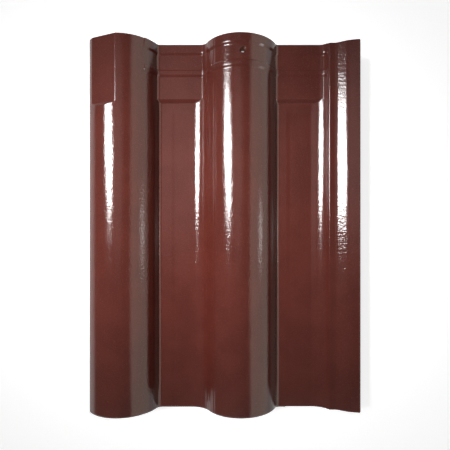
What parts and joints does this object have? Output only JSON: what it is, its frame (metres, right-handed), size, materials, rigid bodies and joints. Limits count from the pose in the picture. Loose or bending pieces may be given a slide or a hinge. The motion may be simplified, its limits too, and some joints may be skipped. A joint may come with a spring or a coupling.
{
  "type": "roof tile",
  "caption": "Interlocking clay roof tile with two round rolls, two pans, a side-lap gutter, weather bars at the head and nibs underneath.",
  "frame": {"origin": "centre of the bounding box at its bottom, the level of the batten nibs' ends", "axes": "+X to the right across the roof, from the cover roll to the side-lap gutter; +Y up the slope to the head; +Z out of the roof, on the glazed side"},
  "size_m": [0.29, 0.4, 0.0535],
  "materials": {
    "glazed_clay": "gloss"
  },
  "bodies": {
    "root": {"roof_tile": "glazed_clay"}
  },
  "joints": []
}
